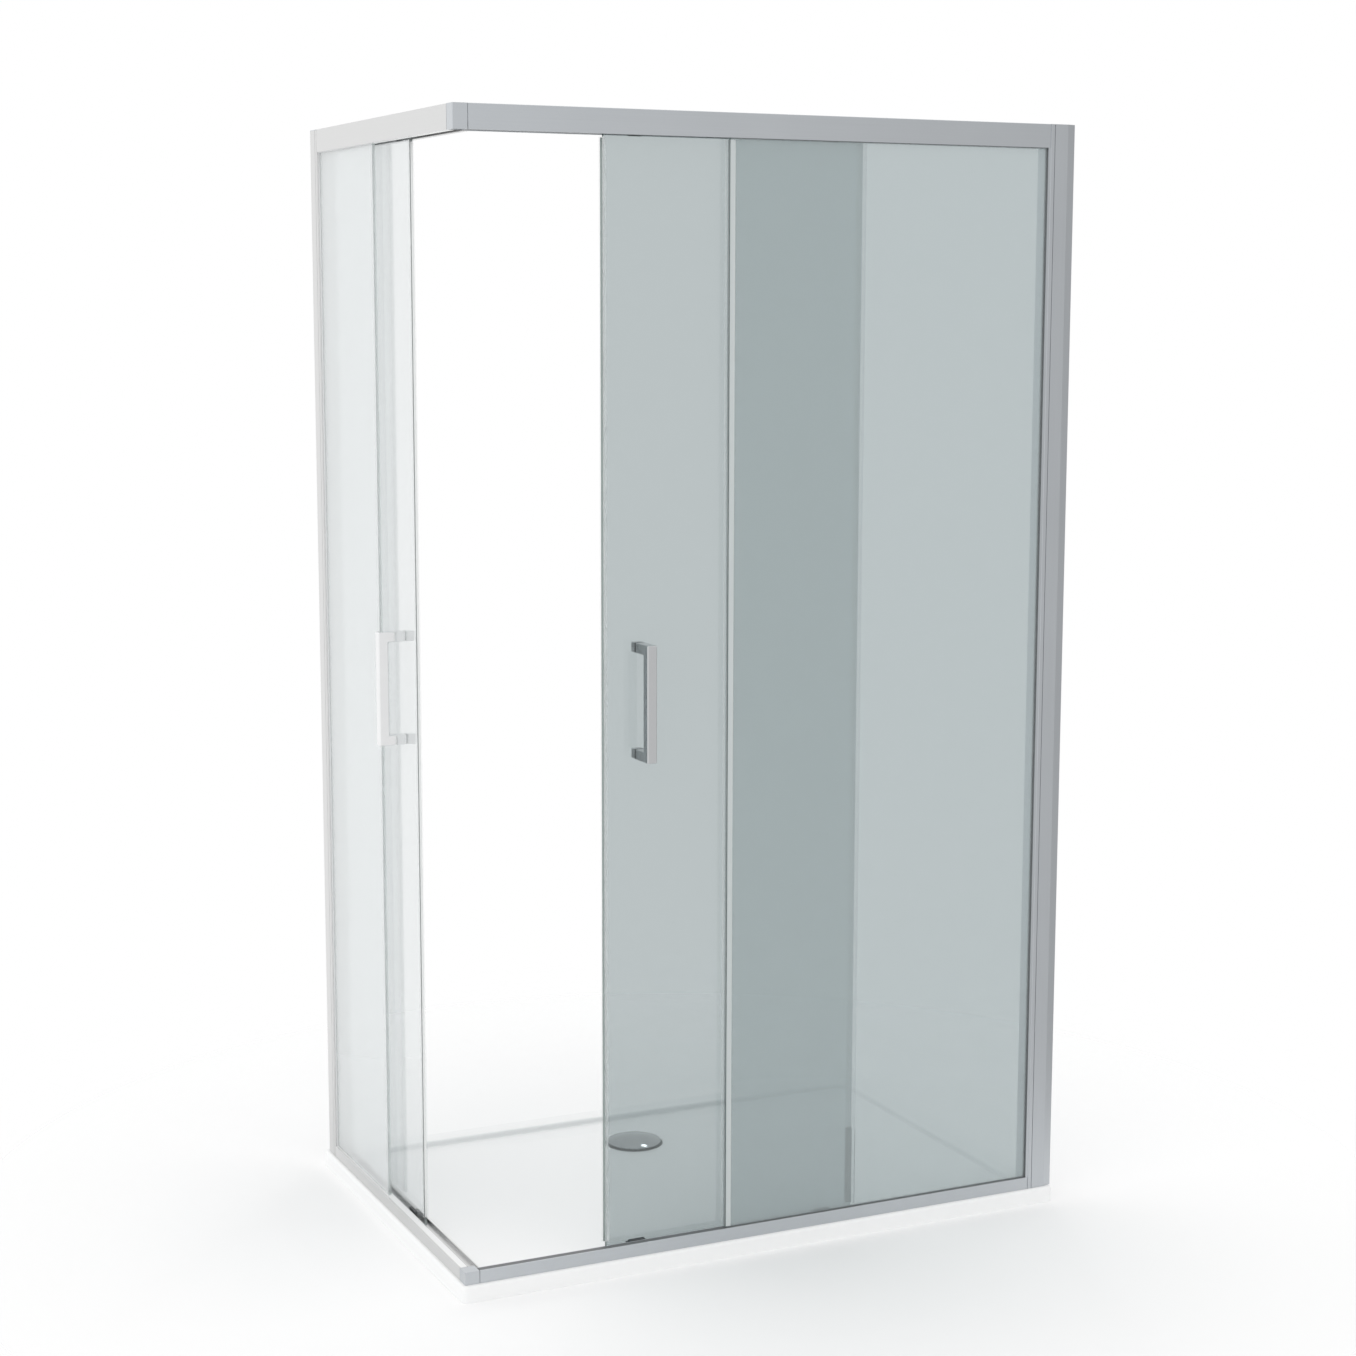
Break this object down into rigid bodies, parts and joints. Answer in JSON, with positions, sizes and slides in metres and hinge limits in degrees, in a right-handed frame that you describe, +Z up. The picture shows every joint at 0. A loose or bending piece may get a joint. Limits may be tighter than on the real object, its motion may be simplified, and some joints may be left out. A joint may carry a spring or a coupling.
{
  "type": "shower cabin",
  "caption": "Rectangular corner-entry shower cabin with framed fixed glass panels, sliding glass doors that meet at the corner, bow handles and a slim tray with a drain.",
  "frame": {"origin": "middle of the tray's underside, on the floor", "axes": "+Z up, +X along the long front towards the right-hand wall, +Y from the front towards the back wall; the outer corner with the entry is at -X -Y"},
  "size_m": [1.227, 0.817, 2.03],
  "materials": {
    "aluminium": "satin anodised extrusion",
    "glass": "clear toughened glass",
    "chrome": "polished chrome",
    "white_tray": "smooth white gel coat",
    "dark_rubber": "soft dark grey rubber",
    "clear_seal": "clear flexible strip",
    "steel": "bright steel",
    "grey_plastic": "moulded grey plastic",
    "nylon": "machined nylon"
  },
  "bodies": {
    "frame": {"bottom_corner_block": "aluminium", "corner_screws": "steel", "drain_flange": "grey_plastic", "front_bottom_rail": "aluminium", "front_door_stop": "dark_rubber", "front_edge_strip": "clear_seal", "front_fixed_glass": "glass", "front_glazing_gasket": "dark_rubber", "front_groove_fillers": "dark_rubber", "front_jamb_profile": "aluminium", "front_top_rail": "aluminium", "front_wall_channel": "aluminium", "jamb_screws": "steel", "side_bottom_rail": "aluminium", "side_door_stop": "dark_rubber", "side_edge_strip": "clear_seal", "side_fixed_glass": "glass", "side_glazing_gasket": "dark_rubber", "side_groove_fillers": "dark_rubber", "side_jamb_profile": "aluminium", "side_top_rail": "aluminium", "side_wall_channel": "aluminium", "top_corner_block": "aluminium", "tray": "white_tray", "wall_channel_caps": "aluminium"},
    "drain_cover": {"drain_cover": "chrome"},
    "front_door": {"front_door_glass": "glass", "front_lead_seal": "clear_seal", "front_lead_magnet": "nylon", "front_trail_seal": "clear_seal", "front_handle": "chrome", "front_handle_caps": "chrome", "front_handle_washers": "dark_rubber", "front_handle_screws": "steel", "front_roller_hangers": "grey_plastic", "front_roller_bolts": "steel", "front_guide_shoes": "grey_plastic", "front_guide_pins": "steel"},
    "front_lead_roller": {"front_lead_roller": "nylon"},
    "front_trail_roller": {"front_trail_roller": "nylon"},
    "front_lead_guide_wheel": {"front_lead_guide_wheel": "nylon"},
    "front_trail_guide_wheel": {"front_trail_guide_wheel": "nylon"},
    "side_door": {"side_door_glass": "glass", "side_lead_seal": "clear_seal", "side_lead_magnet": "nylon", "side_trail_seal": "clear_seal", "side_handle": "chrome", "side_handle_caps": "chrome", "side_handle_washers": "dark_rubber", "side_handle_screws": "steel", "side_roller_hangers": "grey_plastic", "side_roller_bolts": "steel", "side_guide_shoes": "grey_plastic", "side_guide_pins": "steel"},
    "side_lead_roller": {"side_lead_roller": "nylon"},
    "side_trail_roller": {"side_trail_roller": "nylon"},
    "side_lead_guide_wheel": {"side_lead_guide_wheel": "nylon"},
    "side_trail_guide_wheel": {"side_trail_guide_wheel": "nylon"}
  },
  "joints": [
    {"name": "front_door_slide", "type": "slide", "parent": "frame", "child": "front_door", "axis": [1, 0, 0], "range_m": [-0.24099, 0.14]},
    {"name": "side_door_slide", "type": "slide", "parent": "frame", "child": "side_door", "axis": [0, 1, 0], "range_m": [-0.24099, 0.03]},
    {"name": "drain_cover_lift", "type": "slide", "parent": "frame", "child": "drain_cover", "axis": [0, 0, 1], "range_m": [0, 0.06]},
    {"name": "front_lead_roller_spin", "type": "hinge", "parent": "front_door", "child": "front_lead_roller", "pos_m": [-0.26051, -0.355, 2.00225], "axis": [0, 1, 0], "range_deg": [-1534.3, 891.4]},
    {"name": "front_trail_roller_spin", "type": "hinge", "parent": "front_door", "child": "front_trail_roller", "pos_m": [0.11349, -0.355, 2.00225], "axis": [0, 1, 0], "range_deg": [-1534.3, 891.4]},
    {"name": "front_lead_guide_wheel_spin", "type": "hinge", "parent": "front_door", "child": "front_lead_guide_wheel", "pos_m": [-0.26051, -0.355, 0.0351], "axis": [0, 0, 1], "range_deg": [-2227.2, 1293.9]},
    {"name": "front_trail_guide_wheel_spin", "type": "hinge", "parent": "front_door", "child": "front_trail_guide_wheel", "pos_m": [0.11349, -0.355, 0.0351], "axis": [0, 0, 1], "range_deg": [-2227.2, 1293.9]},
    {"name": "side_lead_roller_spin", "type": "hinge", "parent": "side_door", "child": "side_lead_roller", "pos_m": [-0.56, -0.05551, 2.00225], "axis": [1, 0, 0], "range_deg": [-191.1, 1534.3]},
    {"name": "side_trail_roller_spin", "type": "hinge", "parent": "side_door", "child": "side_trail_roller", "pos_m": [-0.56, 0.23698, 2.00225], "axis": [1, 0, 0], "range_deg": [-191.1, 1534.3]},
    {"name": "side_lead_guide_wheel_spin", "type": "hinge", "parent": "side_door", "child": "side_lead_guide_wheel", "pos_m": [-0.56, -0.05551, 0.0351], "axis": [0, 0, 1], "range_deg": [-277.4, 2227.2]},
    {"name": "side_trail_guide_wheel_spin", "type": "hinge", "parent": "side_door", "child": "side_trail_guide_wheel", "pos_m": [-0.56, 0.23698, 0.0351], "axis": [0, 0, 1], "range_deg": [-277.4, 2227.2]}
  ],
  "couplings": [
    {"joint": "front_lead_roller_spin", "follows": "front_door_slide", "rad_per_m": 111.11},
    {"joint": "front_trail_roller_spin", "follows": "front_door_slide", "rad_per_m": 111.11},
    {"joint": "front_lead_guide_wheel_spin", "follows": "front_door_slide", "rad_per_m": 161.29},
    {"joint": "front_trail_guide_wheel_spin", "follows": "front_door_slide", "rad_per_m": 161.29},
    {"joint": "side_lead_roller_spin", "follows": "side_door_slide", "rad_per_m": -111.11},
    {"joint": "side_trail_roller_spin", "follows": "side_door_slide", "rad_per_m": -111.11},
    {"joint": "side_lead_guide_wheel_spin", "follows": "side_door_slide", "rad_per_m": -161.29},
    {"joint": "side_trail_guide_wheel_spin", "follows": "side_door_slide", "rad_per_m": -161.29}
  ]
}
